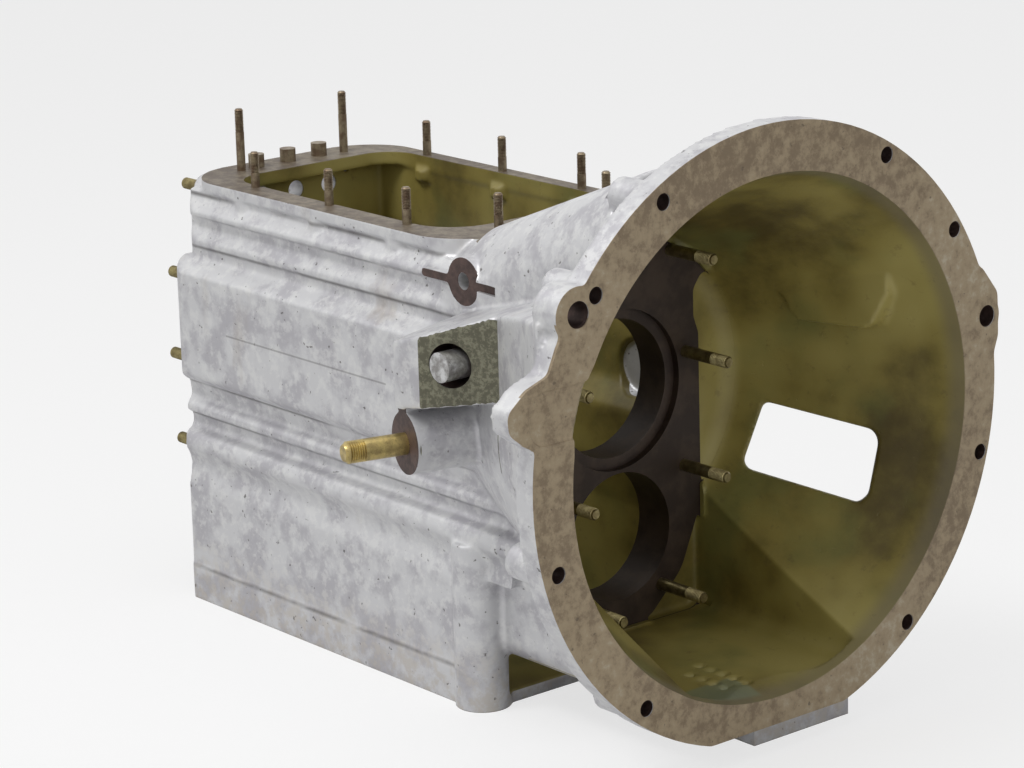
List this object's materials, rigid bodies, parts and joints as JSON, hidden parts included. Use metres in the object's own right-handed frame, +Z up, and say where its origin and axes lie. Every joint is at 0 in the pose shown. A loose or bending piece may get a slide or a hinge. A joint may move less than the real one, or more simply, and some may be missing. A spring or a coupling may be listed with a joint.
{
  "type": "gearbox housing",
  "caption": "Cast gearbox housing with a clutch bell, a ribbed gear case, an open top, bearing bores and studs.",
  "frame": {"origin": "centre of the bell's bolt circle, on the machined engine face", "axes": "+X along the shafts towards the engine, +Z up to the cover face, the clutch pivot is on the -Y side"},
  "size_m": [0.525, 0.4012, 0.3905],
  "materials": {
    "cast_aluminium": "rough sand casting, machined faces",
    "stud_steel": "dull yellow-brown plating",
    "sleeve_steel": "dull turned steel",
    "plated_steel": "gold-coloured plating",
    "bright_steel": "ground steel"
  },
  "bodies": {
    "root": {"housing": "cast_aluminium", "cover_studs": "stud_steel", "cover_long_studs": "stud_steel", "detent_sleeves": "sleeve_steel", "rear_studs": "stud_steel", "bearing_plate_studs": "stud_steel", "pivot_stud": "plated_steel", "recessed_pin": "bright_steel"}
  },
  "joints": []
}
